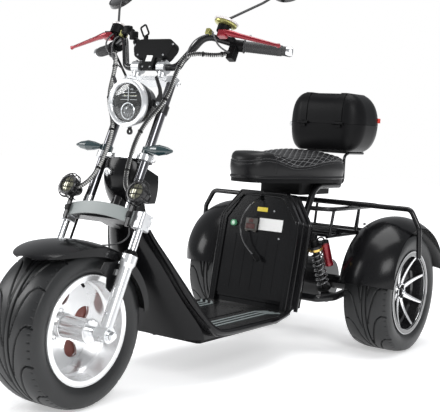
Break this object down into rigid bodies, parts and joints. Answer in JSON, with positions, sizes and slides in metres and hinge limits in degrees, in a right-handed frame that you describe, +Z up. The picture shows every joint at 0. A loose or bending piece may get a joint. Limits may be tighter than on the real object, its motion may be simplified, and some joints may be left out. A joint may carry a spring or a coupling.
{
  "type": "motorized trike",
  "caption": "Electric three-wheel trike with wide tyres, a telescopic fork, flat foot deck, quilted seat, side guard hoop and a lidded rear top box.",
  "frame": {"origin": "on the ground plane, at the middle of the overall length and width", "axes": "+Z up, the front wheel towards -Y, the rider's left side towards +X"},
  "size_m": [1.052, 2.0086, 1.3371],
  "materials": {
    "body_black": "gloss",
    "trim_grey": "matte",
    "deck_black": "satin",
    "box_black": "satin",
    "red_reflector": "gloss",
    "frame_black": "satin",
    "disc_steel": "brushed",
    "hose_black": "matte",
    "lead_black": "matte",
    "grey_band": "satin",
    "switch_plastic": "matte",
    "silver_paint": "satin",
    "cast_silver": "satin",
    "chrome_trim": "polished",
    "tyre_rubber": "satin",
    "grip_rubber": "matte",
    "bar_black": "satin",
    "lens_glass": "clear",
    "lamp_silver": "satin",
    "red_anodised": "satin",
    "lock_steel": "polished",
    "black_alloy": "gloss",
    "seat_vinyl": "quilted",
    "shock_chrome": "polished",
    "signal_lens": "gloss"
  },
  "bodies": {
    "frame": {"battery_case": "body_black", "battery_surround": "body_black", "battery_trim": "trim_grey", "belly_box": "deck_black", "box_support": "frame_black", "box_tray": "box_black", "charge_lead": "lead_black", "charge_plug": "lead_black", "downtube_cover": "body_black", "footboard": "deck_black", "guard_hoop": "frame_black", "head_frame": "frame_black", "neck_cover": "body_black", "neck_lock": "lock_steel", "rear_axle_housing": "frame_black", "rear_fenders": "body_black", "rear_frame": "frame_black", "rear_rack": "frame_black", "seat_cushion": "seat_vinyl", "shock_bodies": "shock_chrome", "shock_springs": "shock_chrome", "underseat_box": "deck_black"},
    "steering": {"cable_looms": "hose_black", "fork_legs": "silver_paint", "stanchions": "chrome_trim", "lower_clamp": "cast_silver", "clamp_band": "grey_band", "fork_yoke": "cast_silver", "top_crown": "cast_silver", "handlebar": "bar_black", "grips": "grip_rubber", "controls": "switch_plastic", "levers": "red_anodised", "mirrors": "switch_plastic", "dash": "switch_plastic", "headlight_shell": "lamp_silver", "headlight_lens": "lens_glass", "turn_signals": "signal_lens", "spotlights": "lamp_silver", "front_axle": "chrome_trim", "front_fender": "body_black", "front_brake": "disc_steel"},
    "front_wheel": {"front_tyre": "tyre_rubber", "front_rim": "chrome_trim", "brake_disc": "disc_steel"},
    "rear_wheel_left": {"rear_tyre_left": "tyre_rubber", "rear_rim_left": "black_alloy"},
    "rear_wheel_right": {"rear_tyre_right": "tyre_rubber", "rear_rim_right": "black_alloy"},
    "box_lid": {"box_lid": "box_black", "box_reflector": "red_reflector"}
  },
  "joints": [
    {"name": "steering_turn", "type": "hinge", "parent": "frame", "child": "steering", "pos_m": [0, -0.7248, 0.21984], "axis": [0, 0.4147, 0.91], "range_deg": [-30, 30]},
    {"name": "front_wheel_spin", "type": "hinge", "parent": "steering", "child": "front_wheel", "pos_m": [0, -0.76575, 0.2385], "axis": [1, 0, 0], "continuous": true},
    {"name": "rear_wheel_left_spin", "type": "hinge", "parent": "frame", "child": "rear_wheel_left", "pos_m": [0.375, 0.69425, 0.2385], "axis": [1, 0, 0], "continuous": true},
    {"name": "rear_wheel_right_spin", "type": "hinge", "parent": "frame", "child": "rear_wheel_right", "pos_m": [-0.375, 0.69425, 0.2385], "axis": [1, 0, 0], "continuous": true},
    {"name": "box_lid_hinge", "type": "hinge", "parent": "frame", "child": "box_lid", "pos_m": [0, 0.70425, 0.897], "axis": [1, 0, 0], "range_deg": [0, 80]}
  ]
}
